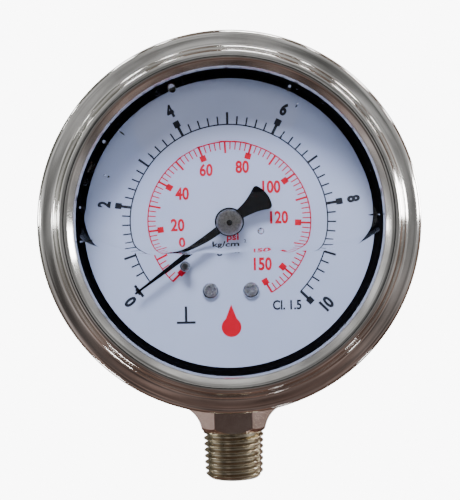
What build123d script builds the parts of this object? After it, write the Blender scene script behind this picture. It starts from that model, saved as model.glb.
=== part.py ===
"""Liquid-filled bourdon pressure gauge with a bottom connection, in millimetres.

The stem points down along -Z and the dial faces -Y. The origin is the centre of the stem's end
face. Depths are given as distances in front of the stem's axis, towards whoever reads the dial.
"""

from build123d import *
import os
from math import acos, atan2, cos, degrees, radians, sin, sqrt

os.makedirs("parts", exist_ok=True)

# ------------------------ driving dimensions
dial_height = 56.5  # dial centre above the stem's end face
sheet = 0.8  # stainless sheet of the case and the bezel

case_radius = 37.5
case_back = -14.0
case_front = 16.4
case_flange_radius = 38.8
case_back_corner = 5.0

bezel_radius = 40.0
bezel_opening = 31.6
bezel_crest = (34.1, 22.9)  # radius and forward distance of the crest's corner, before rounding
bezel_foot = (36.0, 18.9)  # where the steep flank turns into the flatter shoulder
bezel_bead_radius = 2.4

window_radius = 34.6
window_back = 16.5
window_thickness = 3.0
gasket_skirt_radius = 30.8
gasket_skirt_back = 8.4
gasket_skirt_thickness = 1.6

dial_radius = 34.0
dial_front = 8.0
dial_thickness = 0.6
zero_mark_angle = 54.0  # where the pointer rests, clockwise from straight down

pointer_back = 10.8
pointer_thickness = 0.4
pointer_tip_radius = 24.4
pointer_disc_radius = 3.1
hub_cap_radius = 2.75
hub_cap_front = 13.0
shaft_end_front = 13.35

stop_pin_radius = 1.1
stop_pin_place = 13.1
stop_pin_front = 12.0
stop_pin_shank = 0.5

front_plate_back = 4.2
back_plate_back = -1.5
plate_thickness = 1.2
pillar_radius = 1.25
running_gap = 0.05

gear_module = 0.25
pinion_teeth = 10
sector_teeth = 100  # of a full wheel
sector_back = 2.2
sector_thickness = 1.0
tail_length = 5.5
tail_angle = -23.0
link_length = 12.0
link_angle = 80.0

tube_mean_radius = 25.0
tube_width = 10.0
tube_height = 3.6
tube_wall = 0.5
tube_middle = -4.0
tube_end_angle = 3.0  # anticlockwise from three o'clock
tube_root_angle = 263.0

thread_pitch = 1.337
thread_depth = 0.72
thread_length = 10.4
thread_relief = 0.25
thread_end_radius = 6.39
thread_taper = 1 / 32  # radius per length, a 1 in 16 taper on the diameter
port_radius = 2.5
port_depth = 15.0
passage_radius = 1.0
wrench_width = 14.0
wrench_flat_half = 4.15
shoulder_half = 10.0
shoulder_flare = 5.0
neck_radius = 6.0
gasket_sheet = 0.8

plug_radius = 3.42
plug_hole_radius = 3.5

# ------------------------ derived sizes
dial_axis = Axis((0, 0, dial_height), (0, -1, 0))
dial_back = dial_front - dial_thickness
front_plate_front = front_plate_back + plate_thickness
back_plate_front = back_plate_back + plate_thickness
window_front = window_back + window_thickness
pinion_pitch_radius = gear_module * pinion_teeth / 2
sector_pitch_radius = gear_module * sector_teeth / 2
gear_distance = pinion_pitch_radius + sector_pitch_radius
arbor_place = (gear_distance * cos(radians(-45)), gear_distance * sin(radians(-45)))


def face_plane(forward, turn=0.0):
    """A plane parallel to the dial, centred on it and facing the reader; X right unless turned."""
    across = (cos(radians(turn)), 0, sin(radians(turn)))
    return Plane(origin=(0, -forward, dial_height), x_dir=across, z_dir=(0, -1, 0))


def section_plane(angle=90.0):
    """A half plane through the dial's axis: X is radius and Y is forward."""
    out = Vector(cos(radians(angle)), 0, sin(radians(angle)))
    return Plane(origin=(0, 0, dial_height), x_dir=out, z_dir=out.cross(Vector(0, -1, 0)))


def polar(radius, angle, centre=(0, 0)):
    """A point at this radius and angle, anticlockwise from the right."""
    return (centre[0] + radius * cos(radians(angle)), centre[1] + radius * sin(radians(angle)))


def on_dial(radius, clock_angle):
    """A point on the dial by its angle clockwise from straight down."""
    return polar(radius, 270 - clock_angle)


def slice_edges(inner, outer, start, sweep):
    """The outline of a flat ring slice round the local origin."""
    with BuildLine() as outline:
        CenterArc((0, 0), outer, start, sweep)
        CenterArc((0, 0), inner, start, sweep)
        Line(polar(inner, start), polar(outer, start))
        Line(polar(inner, start + sweep), polar(outer, start + sweep))
    return outline.edges()


def add_teeth(pitch_radius, count, start, sweep):
    """Clock teeth round the sketch's local origin, first and last at the ends of the sweep."""
    tooth = [
        (pitch_radius - 1.6 * gear_module, 0.84 * gear_module),
        (pitch_radius, 0.60 * gear_module),
        (pitch_radius + 0.55 * gear_module, 0.44 * gear_module),
        (pitch_radius + 0.88 * gear_module, 0.20 * gear_module),
    ]
    outline = tooth + [(along, -across) for along, across in reversed(tooth)]
    full_circle = abs(sweep) == 360
    with PolarLocations(0, count, start, sweep, endpoint=not full_circle):
        Polygon(*outline, align=None)


def save(part, name):
    """Labels one finished piece and writes it to its own file."""
    part.label = name
    export_step(part, "parts/" + name + ".step")


tail_place = polar(tail_length, tail_angle, arbor_place)
tip_place = polar(link_length, link_angle, tail_place)
pillar_places = [(-5.5, -9.5), (8.5, 6.2), (12.6, -14.2)]
dial_screw_places = [(-4.3, -14.4), (4.3, -14.4)]
movement_screw_places = [(-3.2, -17.6), (3.2, -17.6)]
screw_shank = 1.0
screw_hole = screw_shank + 0.1
stop_pin_lead = 7.6  # degrees from the zero mark, so that the needle's side meets the pin
stop_place = on_dial(stop_pin_place, zero_mark_angle - stop_pin_lead)

# ------------------------ case: deep-drawn cup with a flange
wall_middle = case_radius - sheet / 2
back_middle = case_back + sheet / 2
flange_middle = case_front - sheet / 2
with BuildPart() as case:
    with BuildSketch(section_plane()):
        with BuildLine():
            FilletPolyline(
                (0, back_middle + 1),
                (22.5, back_middle + 1),
                (25.5, back_middle),
                (wall_middle, back_middle),
                (wall_middle, flange_middle),
                (case_flange_radius, flange_middle),
                radius=[1.5, 1.5, case_back_corner, sheet],
            )
        trace(line_width=sheet)
    revolve(axis=dial_axis)
    with BuildSketch(Plane.XY.offset(dial_height - case_radius - 1)):
        Circle(neck_radius + 0.1)
    extrude(amount=6, mode=Mode.SUBTRACT)
    with BuildSketch(Plane.XY.offset(dial_height + case_radius + 1)):
        Circle(plug_hole_radius)
    extrude(amount=-6, mode=Mode.SUBTRACT)
save(case.part, "case")

# ------------------------ bezel: crimped stainless ring
bead_centre = (bezel_radius - bezel_bead_radius, case_front - 0.4)
bead_middle = bezel_bead_radius - sheet / 2
crease = polar(bead_middle, 80, bead_centre)
with BuildPart() as bezel_ring:
    with BuildSketch(section_plane()):
        with BuildLine():
            FilletPolyline(
                (bezel_opening + 0.35, window_front + 0.5),
                (bezel_opening + 0.6, window_front + 1.4),
                bezel_crest,
                bezel_foot,
                crease,
                radius=[0.9, 0.9, 2.5],
            )
            CenterArc(bead_centre, bead_middle, 80, -160)
        trace(line_width=sheet)
    revolve(axis=dial_axis)
save(bezel_ring.part, "bezel_ring")

# ------------------------ window: flat glass with eased edges
with BuildPart() as window:
    with BuildSketch(face_plane(window_back)):
        Circle(window_radius)
    extrude(amount=window_thickness)
    chamfer(window.edges().filter_by(GeomType.CIRCLE), 0.3)
save(window.part, "window")

# ------------------------ window gasket: rubber ring with a deep skirt
gasket_skirt_outer = gasket_skirt_radius + gasket_skirt_thickness
with BuildPart() as window_gasket:
    with BuildSketch(section_plane()):
        Polygon(
            (gasket_skirt_radius, gasket_skirt_back),
            (gasket_skirt_outer, gasket_skirt_back),
            (gasket_skirt_outer, case_front - 1.2),
            (case_radius - sheet - 0.1, case_front - 1.2),
            (case_radius - sheet - 0.1, case_front),
            (case_flange_radius - 0.6, case_front),
            (case_flange_radius - 0.6, case_front + 0.8),
            (window_radius + 1.4, case_front + 0.8),
            (window_radius + 1.4, window_back + 1.4),
            (window_radius + 0.05, window_back + 1.4),
            (window_radius + 0.05, window_back),
            (gasket_skirt_radius + 0.4, window_back),
            align=None,
        )
    revolve(axis=dial_axis)
save(window_gasket.part, "window_gasket")

# ------------------------ fill plug: rubber stopper in the crown of the case
plug_seat = dial_height + case_radius + 0.1
plug_head_radius = 5.0
plug_head_height = 2.0
with BuildPart() as fill_plug:
    with BuildSketch(Plane.XY.offset(plug_seat)):
        Circle(plug_head_radius)
    extrude(amount=plug_head_height)
    fillet(fill_plug.faces().sort_by(Axis.Z)[-1].edges(), 0.8)
    with BuildSketch(Plane.XY.offset(plug_seat)):
        Circle(plug_radius)
    extrude(amount=-3.4)
    chamfer(fill_plug.faces().sort_by(Axis.Z)[0].edges(), 0.6)
    with BuildSketch(Plane.XY.offset(plug_seat + plug_head_height)):
        SlotOverall(plug_head_radius, 0.9)
    extrude(amount=-0.7, mode=Mode.SUBTRACT)
save(fill_plug.part, "fill_plug")

# ------------------------ dial: white plate with its screw and pin holes
with BuildPart() as dial:
    with BuildSketch(face_plane(dial_back)):
        Circle(dial_radius)
        Circle(2.0, mode=Mode.SUBTRACT)
        with Locations(*dial_screw_places):
            Circle(screw_hole, mode=Mode.SUBTRACT)
        with Locations(stop_place):
            Circle(stop_pin_shank, mode=Mode.SUBTRACT)
    extrude(amount=dial_thickness)
save(dial.part, "dial")

# ------------------------ dial spacers: tubes between front plate and dial
with BuildPart() as dial_spacers:
    with BuildSketch(face_plane(front_plate_front)):
        with Locations(*dial_screw_places):
            Circle(2.2)
            Circle(screw_hole, mode=Mode.SUBTRACT)
    extrude(amount=dial_back - front_plate_front)
save(dial_spacers.part, "dial_spacers")

# ------------------------ dial screws: M2 pan heads with a cross recess
screw_head = 1.75
screw_head_height = 1.1
with BuildPart() as dial_screws:
    with BuildSketch(face_plane(dial_front)):
        with Locations(*dial_screw_places):
            Circle(screw_head)
    extrude(amount=screw_head_height)
    fillet(dial_screws.faces().sort_by(Axis.Y)[:2].edges(), 0.55)
    with BuildSketch(face_plane(dial_front)):
        with Locations(*dial_screw_places):
            Circle(screw_shank)
    extrude(amount=front_plate_back - dial_front)
    with BuildSketch(face_plane(dial_front + screw_head_height)):
        with Locations(*dial_screw_places):
            Rectangle(1.9, 0.45)
            Rectangle(0.45, 1.9)
    extrude(amount=-0.8, mode=Mode.SUBTRACT)
save(dial_screws.part, "dial_screws")

# ------------------------ zero stop pin: the pointer rests against it
with BuildPart() as zero_stop_pin:
    with BuildSketch(face_plane(dial_front)):
        with Locations(stop_place):
            Circle(stop_pin_radius)
    extrude(amount=stop_pin_front - dial_front)
    fillet(zero_stop_pin.faces().sort_by(Axis.Y)[0].edges(), 0.5)
    with BuildSketch(face_plane(dial_front)):
        with Locations(stop_place):
            Circle(stop_pin_shank)
    extrude(amount=-dial_thickness)
save(zero_stop_pin.part, "zero_stop_pin")

# ------------------------ pointer: needle, centre disc and balance paddle
pointer_angle = 270 - zero_mark_angle
neck_half = 1.1
paddle_half = 2.85
paddle_end = 10.0
paddle_corner = 0.8
with BuildPart() as pointer:
    with BuildSketch(face_plane(pointer_back, pointer_angle)):
        Circle(pointer_disc_radius)
        Polygon(
            (0, 0.95),
            (pointer_tip_radius - 0.6, 0.22),
            (pointer_tip_radius, 0),
            (pointer_tip_radius - 0.6, -0.22),
            (0, -0.95),
            align=None,
        )
        with BuildLine():
            upper = ThreePointArc((-2.6, neck_half), (-5.6, 1.65), (-9.0, paddle_half + 0.35))
            lower = ThreePointArc((-2.6, -neck_half), (-5.6, -1.65), (-9.0, -paddle_half - 0.35))
            ThreePointArc(upper @ 1, (-paddle_end, 0), lower @ 1)
            Line(upper @ 0, lower @ 0)
        make_face()
        fillet(vertices().sort_by(Axis.X)[:2], paddle_corner)
        Circle(1.5, mode=Mode.SUBTRACT)
    extrude(amount=pointer_thickness)
save(pointer.part, "pointer")

# ------------------------ pointer hub: brass bush pressed into the pointer
shaft_radius = 0.6
hub_back = pointer_back - 1.2
cap_back = pointer_back + pointer_thickness
with BuildPart() as pointer_hub:
    with BuildSketch(face_plane(hub_back)):
        Circle(2.3)
        Circle(shaft_radius, mode=Mode.SUBTRACT)
    extrude(amount=pointer_back - hub_back)
    with BuildSketch(face_plane(pointer_back)):
        Circle(1.5)
        Circle(shaft_radius, mode=Mode.SUBTRACT)
    extrude(amount=pointer_thickness)
save(pointer_hub.part, "pointer_hub")

# ------------------------ hub cap: plated clamp nut with a slot
with BuildPart() as hub_cap:
    with BuildSketch(face_plane(cap_back)):
        Circle(hub_cap_radius)
    extrude(amount=hub_cap_front - cap_back)
    fillet(hub_cap.faces().sort_by(Axis.Y)[0].edges(), 0.45)
    with BuildSketch(face_plane(cap_back)):
        Circle(shaft_radius)
    extrude(amount=hub_cap_front - cap_back, mode=Mode.SUBTRACT)
    with BuildSketch(face_plane(hub_cap_front)):
        with Locations(((shaft_radius + hub_cap_radius) / 2, 0)):
            Rectangle(hub_cap_radius - 0.2, 0.22)
    extrude(amount=-0.5, mode=Mode.SUBTRACT)
save(hub_cap.part, "hub_cap")

# ------------------------ pinion shaft: cut pinion, pivots and pointer seat
pinion_back = 1.8
pinion_front = 3.7
pivot_radius = 0.5
with BuildPart() as pinion_shaft:
    with BuildSketch(face_plane(back_plate_back)):
        Circle(pivot_radius)
    extrude(amount=plate_thickness + running_gap)
    with BuildSketch(face_plane(back_plate_front + running_gap)):
        Circle(shaft_radius)
    extrude(amount=shaft_end_front - back_plate_front - running_gap)
    with BuildSketch(face_plane(pinion_back)):
        Circle(pinion_pitch_radius - 1.3 * gear_module)
        add_teeth(pinion_pitch_radius, pinion_teeth, -45 + 180 / pinion_teeth, 360)
    extrude(amount=pinion_front - pinion_back)
save(pinion_shaft.part, "pinion_shaft")

# ------------------------ hairspring with its collet and stud
spring_back = 0.35
spring_width = 0.7
spring_strip = 0.12
spring_start_radius = 1.45
spring_step = 0.29  # growth for each half turn
spring_half_turns = 10
spring_end_radius = spring_start_radius + spring_half_turns * spring_step
with BuildPart() as hairspring:
    with BuildSketch(face_plane(spring_back)):
        with BuildLine():
            for half_turn in range(spring_half_turns):
                odd = half_turn % 2
                radius = spring_start_radius + half_turn * spring_step
                CenterArc((odd * spring_step, 0), radius, odd * 180, 180)
        trace(line_width=spring_strip)
    extrude(amount=spring_width)
save(hairspring.part, "hairspring")

with BuildPart() as hairspring_collet:
    with BuildSketch(face_plane(spring_back - 0.2)):
        Circle(spring_start_radius - spring_strip / 2 - 0.03)
        Circle(shaft_radius, mode=Mode.SUBTRACT)
    extrude(amount=spring_width + 0.4)
save(hairspring_collet.part, "hairspring_collet")

stud_radius = 0.5
with BuildPart() as hairspring_stud:
    with BuildSketch(face_plane(back_plate_front)):
        with Locations((spring_end_radius + spring_strip / 2 + stud_radius + 0.33, 0)):
            Circle(stud_radius)
    extrude(amount=1.6)
save(hairspring_stud.part, "hairspring_stud")

# ------------------------ sector gear with its arbor
tooth_pitch_angle = 360 / sector_teeth
first_tooth = 135 - 9 * tooth_pitch_angle
sector_tooth_count = 12
toothed_sweep = tooth_pitch_angle * (sector_tooth_count - 1)
rim_margin = 0.7 * tooth_pitch_angle
rim_start = first_tooth - rim_margin
rim_sweep = toothed_sweep + 2 * rim_margin
rim_outer = sector_pitch_radius - 1.3 * gear_module
arbor_radius = 0.9
sector_plane = face_plane(sector_back)
sector_local = Plane(
    origin=sector_plane.from_local_coords(Vector(*arbor_place, 0)),
    x_dir=sector_plane.x_dir,
    z_dir=sector_plane.z_dir,
)
with BuildPart() as sector_gear:
    with BuildSketch(sector_local):
        Circle(2.0)
        make_face(slice_edges(0.5, rim_outer, rim_start, rim_sweep))
        make_face(slice_edges(4.2, rim_outer - 1.6, rim_start + 7, rim_sweep - 14), mode=Mode.SUBTRACT)
        add_teeth(sector_pitch_radius, sector_tooth_count, first_tooth, toothed_sweep)
        with Locations(Location(polar(tail_length / 2, tail_angle), (0, 0, tail_angle))):
            SlotCenterToCenter(tail_length, 2.4)
        with Locations(polar(tail_length, tail_angle)):
            Circle(0.6, mode=Mode.SUBTRACT)
        Circle(arbor_radius, mode=Mode.SUBTRACT)
    extrude(amount=sector_thickness)
save(sector_gear.part, "sector_gear")

with BuildPart() as sector_arbor:
    with BuildSketch(sector_local.offset(back_plate_back - sector_back)):
        Circle(pivot_radius)
    extrude(amount=front_plate_front - back_plate_back)
    with BuildSketch(sector_local.offset(back_plate_front + running_gap - sector_back)):
        Circle(arbor_radius)
    extrude(amount=front_plate_back - back_plate_front - 2 * running_gap)
save(sector_arbor.part, "sector_arbor")

# ------------------------ movement plates, pillars and screws
with BuildPart() as front_plate:
    with BuildSketch(face_plane(front_plate_back)):
        Circle(3.4)
        with Locations(arbor_place, *pillar_places):
            Circle(2.4)
        with Locations(*dial_screw_places):
            Circle(2.7)
        make_hull()
        Circle(shaft_radius + running_gap, mode=Mode.SUBTRACT)
        with Locations(arbor_place):
            Circle(pivot_radius + running_gap, mode=Mode.SUBTRACT)
        with Locations(*pillar_places):
            Circle(0.6, mode=Mode.SUBTRACT)
        with Locations(*dial_screw_places):
            Circle(1.0, mode=Mode.SUBTRACT)
    extrude(amount=plate_thickness)
save(front_plate.part, "front_plate")

with BuildPart() as back_plate:
    with BuildSketch(face_plane(back_plate_back)):
        Circle(5.4)
        with Locations(arbor_place, *pillar_places):
            Circle(2.4)
        make_hull()
        with Locations((0, -15.5)):
            Rectangle(11.0, 12.0)
        Circle(pivot_radius + running_gap, mode=Mode.SUBTRACT)
        with Locations(arbor_place):
            Circle(pivot_radius + running_gap, mode=Mode.SUBTRACT)
        with Locations(*pillar_places):
            Circle(0.7, mode=Mode.SUBTRACT)
        with Locations(*movement_screw_places):
            Circle(1.3, mode=Mode.SUBTRACT)
    extrude(amount=plate_thickness)
save(back_plate.part, "back_plate")

with BuildPart() as plate_pillars:
    with BuildSketch(face_plane(back_plate_front)):
        with Locations(*pillar_places):
            Circle(pillar_radius)
    extrude(amount=front_plate_back - back_plate_front)
    with BuildSketch(face_plane(back_plate_front)):
        with Locations(*pillar_places):
            Circle(0.7)
    extrude(amount=-plate_thickness)
    with BuildSketch(face_plane(back_plate_back)):
        with Locations(*pillar_places):
            Circle(1.1)
    extrude(amount=-0.4)
    with BuildSketch(face_plane(front_plate_back)):
        with Locations(*pillar_places):
            Circle(0.6)
    extrude(amount=-2.0, mode=Mode.SUBTRACT)
save(plate_pillars.part, "plate_pillars")

with BuildPart() as plate_screws:
    with BuildSketch(face_plane(front_plate_front)):
        with Locations(*pillar_places):
            Circle(1.15)
    extrude(amount=0.7)
    with BuildSketch(face_plane(front_plate_front)):
        with Locations(*pillar_places):
            Circle(0.6)
    extrude(amount=-plate_thickness - 1.8)
    with BuildSketch(face_plane(front_plate_front + 0.7)):
        with Locations(*pillar_places):
            Rectangle(2.6, 0.3)
    extrude(amount=-0.35, mode=Mode.SUBTRACT)
save(plate_screws.part, "plate_screws")

with BuildPart() as movement_screws:
    with BuildSketch(face_plane(back_plate_front)):
        with Locations(*movement_screw_places):
            Circle(2.0)
    extrude(amount=1.3)
    with BuildSketch(face_plane(back_plate_front)):
        with Locations(*movement_screw_places):
            Circle(1.2)
    extrude(amount=-7.0)
    with BuildSketch(face_plane(back_plate_front + 1.3)):
        with Locations(*movement_screw_places):
            Rectangle(4.4, 0.5)
    extrude(amount=-0.7, mode=Mode.SUBTRACT)
save(movement_screws.part, "movement_screws")

# ------------------------ link between the sector's tail and the tube's tip
link_back = 1.5
link_thickness = 0.6
pin_radius = 0.6
tip_play = 0.25
lug_back = 0.4
with BuildPart() as link_bar:
    with BuildSketch(face_plane(link_back)):
        with Locations(Location(polar(link_length / 2, link_angle, tail_place), (0, 0, link_angle))):
            SlotCenterToCenter(link_length, 2.6)
        with Locations(tail_place):
            Circle(pin_radius + running_gap, mode=Mode.SUBTRACT)
        with Locations(tip_place):
            Circle(pin_radius + tip_play, mode=Mode.SUBTRACT)
    extrude(amount=link_thickness)
save(link_bar.part, "link_bar")

with BuildPart() as link_pin_lower:
    with BuildSketch(face_plane(link_back - 0.1)):
        with Locations(tail_place):
            Circle(pin_radius)
    extrude(amount=sector_back + sector_thickness - link_back + 0.1)
    with BuildSketch(face_plane(link_back - 0.1)):
        with Locations(tail_place):
            Circle(1.0)
    extrude(amount=-0.4)
save(link_pin_lower.part, "link_pin_lower")

with BuildPart() as link_pin_upper:
    with BuildSketch(face_plane(lug_back)):
        with Locations(tip_place):
            Circle(pin_radius)
    extrude(amount=link_back + link_thickness + 0.1 - lug_back)
    with BuildSketch(face_plane(link_back + link_thickness + 0.1)):
        with Locations(tip_place):
            Circle(1.1)
    extrude(amount=0.4)
save(link_pin_upper.part, "link_pin_upper")

# ------------------------ bourdon tube and the piece that closes its tip
tube_sweep = tube_root_angle - tube_end_angle
with BuildPart() as bourdon_tube:
    with BuildSketch(section_plane(tube_end_angle)):
        with Locations(Location((tube_mean_radius, tube_middle), (0, 0, 90))):
            SlotOverall(tube_width, tube_height)
            SlotOverall(tube_width - 2 * tube_wall, tube_height - 2 * tube_wall, mode=Mode.SUBTRACT)
    revolve(axis=dial_axis, revolution_arc=tube_sweep)
save(bourdon_tube.part, "bourdon_tube")

tip_piece_sweep = 9.0
lug_half = 1.7
with BuildPart() as tube_end_piece:
    with BuildSketch(section_plane(tube_end_angle - tip_piece_sweep)):
        with Locations(Location((tube_mean_radius, tube_middle), (0, 0, 90))):
            SlotOverall(tube_width, tube_height)
    revolve(axis=dial_axis, revolution_arc=tip_piece_sweep)
    with BuildSketch(face_plane(lug_back)):
        with Locations(tip_place):
            Circle(lug_half)
            with Locations(((tube_mean_radius - tip_place[0]) / 2, -0.3)):
                Rectangle(tube_mean_radius - tip_place[0], 2 * lug_half - 0.6)
        with Locations(tip_place):
            Circle(pin_radius, mode=Mode.SUBTRACT)
    extrude(amount=1.0)
save(tube_end_piece.part, "tube_end_piece")

# ------------------------ threaded end: one helical rib, chamfered, on a tapered core
thread_top_radius = thread_end_radius + thread_length * thread_taper
rib_bottom = -thread_pitch
rib_bottom_radius = thread_end_radius + rib_bottom * thread_taper
rib_root = rib_bottom_radius - thread_depth - 0.15
rib_shoulder = rib_bottom_radius - 0.12 * thread_depth
core_radius = thread_end_radius - thread_depth
with BuildPart() as threaded_end:
    with BuildLine(Plane.XY.offset(rib_bottom)) as rib_path:
        Helix(
            thread_pitch,
            thread_length - rib_bottom,
            rib_bottom_radius,
            cone_angle=degrees(atan2(thread_taper, 1)),
        )
    with BuildSketch(Plane.XZ):
        with Locations((0, rib_bottom)):
            Polygon(
                (rib_root, -0.60),
                (rib_shoulder, -0.13),
                (rib_bottom_radius, -0.06),
                (rib_bottom_radius, 0.06),
                (rib_shoulder, 0.13),
                (rib_root, 0.60),
                align=None,
            )
    sweep(path=rib_path.line, is_frenet=True)
    with BuildSketch(Plane.XZ):
        Polygon(
            (0, 0),
            (thread_end_radius - 0.9, 0),
            (thread_end_radius + 0.2, 1.1),
            (thread_top_radius + 0.2, thread_length - thread_relief),
            (0, thread_length - thread_relief),
            align=None,
        )
    revolve(axis=Axis.Z, mode=Mode.INTERSECT)
    with BuildSketch(Plane.XZ):
        Polygon(
            (0, 0),
            (core_radius - 0.3, 0),
            (core_radius, 0.3),
            (thread_top_radius - thread_depth, thread_length + 0.4),
            (0, thread_length + 0.4),
            align=None,
        )
    revolve(axis=Axis.Z)

# ------------------------ socket: threaded stem, wrench flats, saddle and block
saddle_radius = case_radius + gasket_sheet
wrench_half = wrench_width / 2
shoulder_height = dial_height - 36.0
flare_bottom = thread_length + 0.3
flare_sweep = degrees(acos((wrench_half + shoulder_flare - shoulder_half) / shoulder_flare))
block_half = 6.0
block_rear = -10.5
block_top = dial_height - 11.5
block_step = dial_height - 22.5
block_bottom = dial_height - 34.0
tube_seat_front = 2.5
clip_bottom = dial_height - case_radius + 1.75
clip_thickness = 1.2
clip_play = 0.05
groove_radius = 4.9
restrictor_length = 3.0
restrictor_radius = 1.9
passage_top = dial_height - sqrt(tube_mean_radius**2 - 3.0**2) + 1.0


def shoulder_outline():
    """Plan of the wrench body: two flats joined by two chamfered ends."""
    end_half = wrench_half - (shoulder_half - wrench_flat_half)
    right = [(wrench_flat_half, -wrench_half), (shoulder_half, -end_half)]
    right += [(across, -along) for across, along in reversed(right)]
    return right + [(-across, -along) for across, along in right]


with BuildPart() as socket:
    with BuildSketch(Plane.XY.offset(thread_length)):
        Polygon(*shoulder_outline(), align=None)
    extrude(amount=shoulder_height - thread_length)
    # both ends flare out from the wrench width to the shoulder
    with BuildSketch(Plane.XZ):
        with BuildLine():
            flare = CenterArc(
                (wrench_half + shoulder_flare, flare_bottom), shoulder_flare, 180, -flare_sweep
            )
            Polyline(flare @ 1, (shoulder_half, shoulder_height), (0, shoulder_height))
            Polyline((0, thread_length), (wrench_half, thread_length), flare @ 0)
            mirror(about=Plane.YZ)
        make_face()
    extrude(amount=shoulder_half, both=True, mode=Mode.INTERSECT)
    # turned chamfer above the thread
    with BuildSketch(Plane.XZ):
        Polygon(
            (0, thread_length),
            (thread_top_radius + 0.1, thread_length),
            (shoulder_half + 1, thread_length + shoulder_half + 1 - thread_top_radius - 0.1),
            (shoulder_half + 1, shoulder_height),
            (0, shoulder_height),
            align=None,
        )
    revolve(axis=Axis.Z, mode=Mode.INTERSECT)
    # saddle under the case
    with BuildSketch(face_plane(-shoulder_half)):
        Circle(saddle_radius)
    extrude(amount=2 * shoulder_half, mode=Mode.SUBTRACT)
    with BuildSketch(Plane.XY.offset(thread_length + 2)):
        Circle(neck_radius)
    extrude(amount=block_bottom + 3 - thread_length - 2)
    with BuildSketch(Plane.XY.offset(clip_bottom - clip_play)):
        Circle(neck_radius + 1)
        Circle(groove_radius, mode=Mode.SUBTRACT)
    extrude(amount=clip_thickness + 2 * clip_play, mode=Mode.SUBTRACT)
    # block that carries the movement and the tube
    with BuildSketch(face_plane(block_rear)):
        with Locations((0, (block_top + block_bottom) / 2 - dial_height)):
            Rectangle(2 * block_half, block_top - block_bottom)
    extrude(amount=back_plate_back - block_rear)
    with BuildSketch(face_plane(back_plate_back)):
        with Locations((0, (block_step + block_bottom) / 2 - dial_height)):
            Rectangle(2 * block_half, block_step - block_bottom)
    extrude(amount=tube_seat_front - back_plate_back)
    with BuildSketch(face_plane(back_plate_back)):
        with Locations(*movement_screw_places):
            Circle(1.2)
    extrude(amount=-6.2, mode=Mode.SUBTRACT)
    with BuildSketch(section_plane(tube_root_angle - 12)):
        with Locations(Location((tube_mean_radius, tube_middle), (0, 0, 90))):
            SlotOverall(tube_width, tube_height)
    revolve(axis=dial_axis, revolution_arc=12, mode=Mode.SUBTRACT)
    add(threaded_end.part)
    # pressure passage
    with BuildSketch(Plane.XY):
        Circle(port_radius)
    extrude(amount=port_depth, mode=Mode.SUBTRACT)
    with BuildSketch(Plane.XY):
        Circle(restrictor_radius)
    extrude(amount=port_depth + restrictor_length, mode=Mode.SUBTRACT)
    with BuildSketch(Plane.XY):
        Circle(passage_radius)
    extrude(amount=passage_top, mode=Mode.SUBTRACT)
    with BuildSketch(Plane.YZ):
        with Locations((0.2, passage_top - 1.0)):
            Circle(0.6)
    extrude(amount=-4.0, mode=Mode.SUBTRACT)
save(socket.part, "socket")

# ------------------------ socket gasket: fibre saddle between socket and case
with BuildPart() as socket_gasket:
    with BuildSketch(Plane.XY.offset(thread_length)):
        Polygon(*shoulder_outline(), align=None)
    extrude(amount=shoulder_height - thread_length)
    with BuildSketch(face_plane(-shoulder_half)):
        Circle(saddle_radius)
    extrude(amount=2 * shoulder_half, mode=Mode.INTERSECT)
    with BuildSketch(face_plane(-shoulder_half)):
        Circle(case_radius)
    extrude(amount=2 * shoulder_half, mode=Mode.SUBTRACT)
    with BuildSketch(Plane.XY.offset(thread_length)):
        Circle(neck_radius + 0.1)
    extrude(amount=shoulder_height - thread_length, mode=Mode.SUBTRACT)
save(socket_gasket.part, "socket_gasket")

# ------------------------ retaining clip: fork that locks the neck in the case
with BuildPart() as socket_retaining_clip:
    with BuildSketch(Plane.XY.offset(clip_bottom)):
        RectangleRounded(16.0, 18.0, 1.5)
        Circle(groove_radius + clip_play, mode=Mode.SUBTRACT)
        with Locations((0, -6.0)):
            Rectangle(2 * (groove_radius + clip_play), 12.0, mode=Mode.SUBTRACT)
    extrude(amount=clip_thickness)
save(socket_retaining_clip.part, "socket_retaining_clip")

# ------------------------ restrictor: drilled grub screw that damps pulsation
with BuildPart() as restrictor_screw:
    with BuildSketch(Plane.XY.offset(port_depth)):
        Circle(restrictor_radius)
        Circle(0.25, mode=Mode.SUBTRACT)
    extrude(amount=restrictor_length)
    with BuildSketch(Plane.XY.offset(port_depth)):
        Rectangle(2 * restrictor_radius, 0.6)
    extrude(amount=0.8, mode=Mode.SUBTRACT)
save(restrictor_screw.part, "restrictor_screw")

# ------------------------ damping liquid: its free surface leans back to the dial
liquid_radius = gasket_skirt_radius - 0.2
liquid_front = window_back - 0.1
liquid_gap_front = 13.8  # clear of the hub in front
liquid_gap_radius = 25.5  # clear of the pointer's tip
liquid_line = -5.5  # where the surface meets the window
liquid_rise = 22.5  # how much higher it meets the dial
with BuildPart() as glycerine_fill:
    with BuildSketch(face_plane(dial_front + 0.1)):
        Circle(liquid_radius)
    extrude(amount=liquid_front - dial_front - 0.1)
    with BuildSketch(face_plane(dial_front + 0.1)):
        Circle(liquid_gap_radius)
    extrude(amount=liquid_gap_front - dial_front - 0.1, mode=Mode.SUBTRACT)
    surface_normal = (0, -liquid_rise, liquid_front - dial_front)
    split(
        bisect_by=Plane(origin=(0, -liquid_front, dial_height + liquid_line), z_dir=surface_normal),
        keep=Keep.BOTTOM,
    )
save(glycerine_fill.part, "glycerine_fill")
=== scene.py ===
"""Looks of a liquid-filled pressure gauge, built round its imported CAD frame.

Metres, +Z up, the dial faces -Y. "forward" is a distance in front of the stem's axis, towards
whoever reads the dial, and "clock" is an angle in degrees on the dial, clockwise from straight down.
"""

from math import cos, degrees, exp, pi, radians, sin, sqrt, tan

import bmesh
import bpy
from mathutils import Matrix, Vector


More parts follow.
